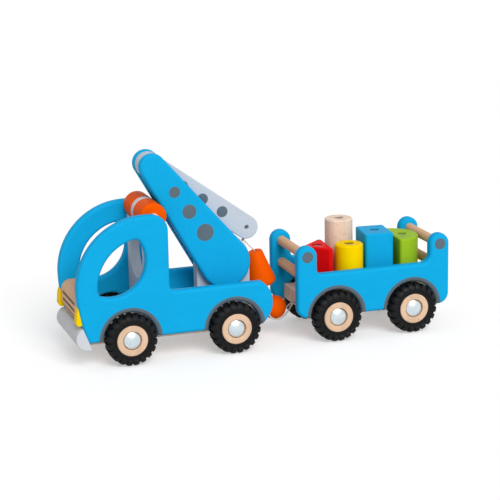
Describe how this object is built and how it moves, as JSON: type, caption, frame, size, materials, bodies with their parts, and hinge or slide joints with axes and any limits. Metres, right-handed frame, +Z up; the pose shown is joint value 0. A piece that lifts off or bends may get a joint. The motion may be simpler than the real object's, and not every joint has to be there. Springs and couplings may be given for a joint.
{
  "type": "toy crane truck with trailer",
  "caption": "Painted wooden toy crane truck with a luffing boom, folding jib and hanging hook, towing a trailer of lift-out shape blocks on rubber-tyred wheels.",
  "frame": {"origin": "on the floor, under the middle of the whole length and width, with truck and trailer in line", "axes": "+X towards the rear of the trailer, so the truck faces -X; +Y to the far side in the picture; +Z up"},
  "size_m": [0.38, 0.1004, 0.1947],
  "materials": {
    "blue_paint": "satin paint on wood",
    "grey_paint": "satin paint on wood",
    "orange_paint": "satin paint on wood",
    "yellow_paint": "satin paint on wood",
    "red_paint": "satin paint on wood",
    "green_paint": "satin paint on wood",
    "bare_wood": "clear varnished beech",
    "steel": "zinc plated",
    "string": "twisted cotton",
    "rubber": "matt"
  },
  "bodies": {
    "truck": {"side_panel_near": "blue_paint", "side_panel_far": "blue_paint", "base_board": "bare_wood", "cab_rear_wall": "grey_paint", "grille_block": "bare_wood", "headlamps": "yellow_paint", "bumper": "grey_paint", "light_drums": "orange_paint", "light_ring": "grey_paint", "light_dowel": "bare_wood", "crane_pedestal": "grey_paint", "hitch_knob": "orange_paint", "truck_axles": "steel", "truck_axle_caps": "steel"},
    "boom": {"boom_arm_near": "blue_paint", "boom_arm_far": "blue_paint", "boom_pin": "bare_wood", "jib_pin": "bare_wood"},
    "jib": {"jib": "grey_paint"},
    "knot": {"string_knot": "string"},
    "line": {"hook_string": "string"},
    "hook": {"hook_weight": "orange_paint", "hook_magnet": "steel"},
    "trailer": {"trailer_panel_near": "blue_paint", "trailer_panel_far": "blue_paint", "trailer_floor": "bare_wood", "trailer_top_rails": "bare_wood", "trailer_low_rails": "bare_wood", "trailer_axle_blocks": "bare_wood", "trailer_axles": "steel", "trailer_axle_caps": "steel", "tow_string": "string"},
    "wheel_front_near": {"tyre_front_near": "rubber", "hub_front_near": "bare_wood"},
    "wheel_front_far": {"tyre_front_far": "rubber", "hub_front_far": "bare_wood"},
    "wheel_rear_near": {"tyre_rear_near": "rubber", "hub_rear_near": "bare_wood"},
    "wheel_rear_far": {"tyre_rear_far": "rubber", "hub_rear_far": "bare_wood"},
    "trailer_wheel_front_near": {"trailer_tyre_front_near": "rubber", "trailer_hub_front_near": "bare_wood"},
    "trailer_wheel_front_far": {"trailer_tyre_front_far": "rubber", "trailer_hub_front_far": "bare_wood"},
    "trailer_wheel_rear_near": {"trailer_tyre_rear_near": "rubber", "trailer_hub_rear_near": "bare_wood"},
    "trailer_wheel_rear_far": {"trailer_tyre_rear_far": "rubber", "trailer_hub_rear_far": "bare_wood"},
    "red_block": {"block_red": "red_paint", "disc_red": "steel"},
    "natural_block": {"block_natural": "bare_wood", "disc_natural": "steel"},
    "yellow_block": {"block_yellow": "yellow_paint", "disc_yellow": "steel"},
    "blue_block": {"block_blue": "blue_paint", "disc_blue": "steel"},
    "green_block": {"block_green": "green_paint", "disc_green": "steel"}
  },
  "joints": [
    {"name": "wheel_front_near_spin", "type": "hinge", "parent": "truck", "child": "wheel_front_near", "pos_m": [-0.13747, -0.042, 0.025], "axis": [0, 1, 0], "continuous": true},
    {"name": "wheel_front_far_spin", "type": "hinge", "parent": "truck", "child": "wheel_front_far", "pos_m": [-0.13747, 0.042, 0.025], "axis": [0, 1, 0], "continuous": true},
    {"name": "wheel_rear_near_spin", "type": "hinge", "parent": "truck", "child": "wheel_rear_near", "pos_m": [-0.03447, -0.042, 0.025], "axis": [0, 1, 0], "continuous": true},
    {"name": "wheel_rear_far_spin", "type": "hinge", "parent": "truck", "child": "wheel_rear_far", "pos_m": [-0.03447, 0.042, 0.025], "axis": [0, 1, 0], "continuous": true},
    {"name": "trailer_wheel_front_near_spin", "type": "hinge", "parent": "trailer", "child": "trailer_wheel_front_near", "pos_m": [0.07003, -0.042, 0.025], "axis": [0, 1, 0], "continuous": true},
    {"name": "trailer_wheel_front_far_spin", "type": "hinge", "parent": "trailer", "child": "trailer_wheel_front_far", "pos_m": [0.07003, 0.042, 0.025], "axis": [0, 1, 0], "continuous": true},
    {"name": "trailer_wheel_rear_near_spin", "type": "hinge", "parent": "trailer", "child": "trailer_wheel_rear_near", "pos_m": [0.15003, -0.042, 0.025], "axis": [0, 1, 0], "continuous": true},
    {"name": "trailer_wheel_rear_far_spin", "type": "hinge", "parent": "trailer", "child": "trailer_wheel_rear_far", "pos_m": [0.15003, 0.042, 0.025], "axis": [0, 1, 0], "continuous": true},
    {"name": "boom_luff", "type": "hinge", "parent": "truck", "child": "boom", "pos_m": [-0.03347, 0, 0.082], "axis": [0, 1, 0], "range_deg": [0, 20]},
    {"name": "jib_fold", "type": "hinge", "parent": "boom", "child": "jib", "pos_m": [-0.10347, 0, 0.18192], "axis": [0, -1, 0], "range_deg": [0, 60]},
    {"name": "knot_turn", "type": "hinge", "parent": "jib", "child": "knot", "pos_m": [-0.01077, 0, 0.09989], "axis": [0, 1, 0], "range_deg": [0, 111.5]},
    {"name": "line_swing", "type": "hinge", "parent": "knot", "child": "line", "pos_m": [-0.01077, 0, 0.09989], "axis": [0, -1, 0], "range_deg": [0, 20]},
    {"name": "hook_swing", "type": "hinge", "parent": "line", "child": "hook", "pos_m": [0.00102, 0, 0.0872], "axis": [0, -1, 0], "range_deg": [0, 30.3]},
    {"name": "trailer_yaw", "type": "hinge", "parent": "truck", "child": "trailer", "pos_m": [0.02023, 0, 0.028], "axis": [0, 0, 1], "range_deg": [-25, 25]},
    {"name": "red_lift", "type": "slide", "parent": "trailer", "child": "red_block", "axis": [0, 0, 1], "range_m": [0, 0.05]},
    {"name": "natural_lift", "type": "slide", "parent": "trailer", "child": "natural_block", "axis": [0, 0, 1], "range_m": [0, 0.05]},
    {"name": "yellow_lift", "type": "slide", "parent": "trailer", "child": "yellow_block", "axis": [0, 0, 1], "range_m": [0, 0.05]},
    {"name": "blue_lift", "type": "slide", "parent": "trailer", "child": "blue_block", "axis": [0, 0, 1], "range_m": [0, 0.05]},
    {"name": "green_lift", "type": "slide", "parent": "trailer", "child": "green_block", "axis": [0, 0, 1], "range_m": [0, 0.05]}
  ],
  "couplings": [
    {"joint": "knot_turn", "follows": "jib_fold", "ratio": 1.85},
    {"joint": "line_swing", "follows": "boom_luff", "ratio": 1},
    {"joint": "hook_swing", "follows": "jib_fold", "ratio": 0.5}
  ]
}
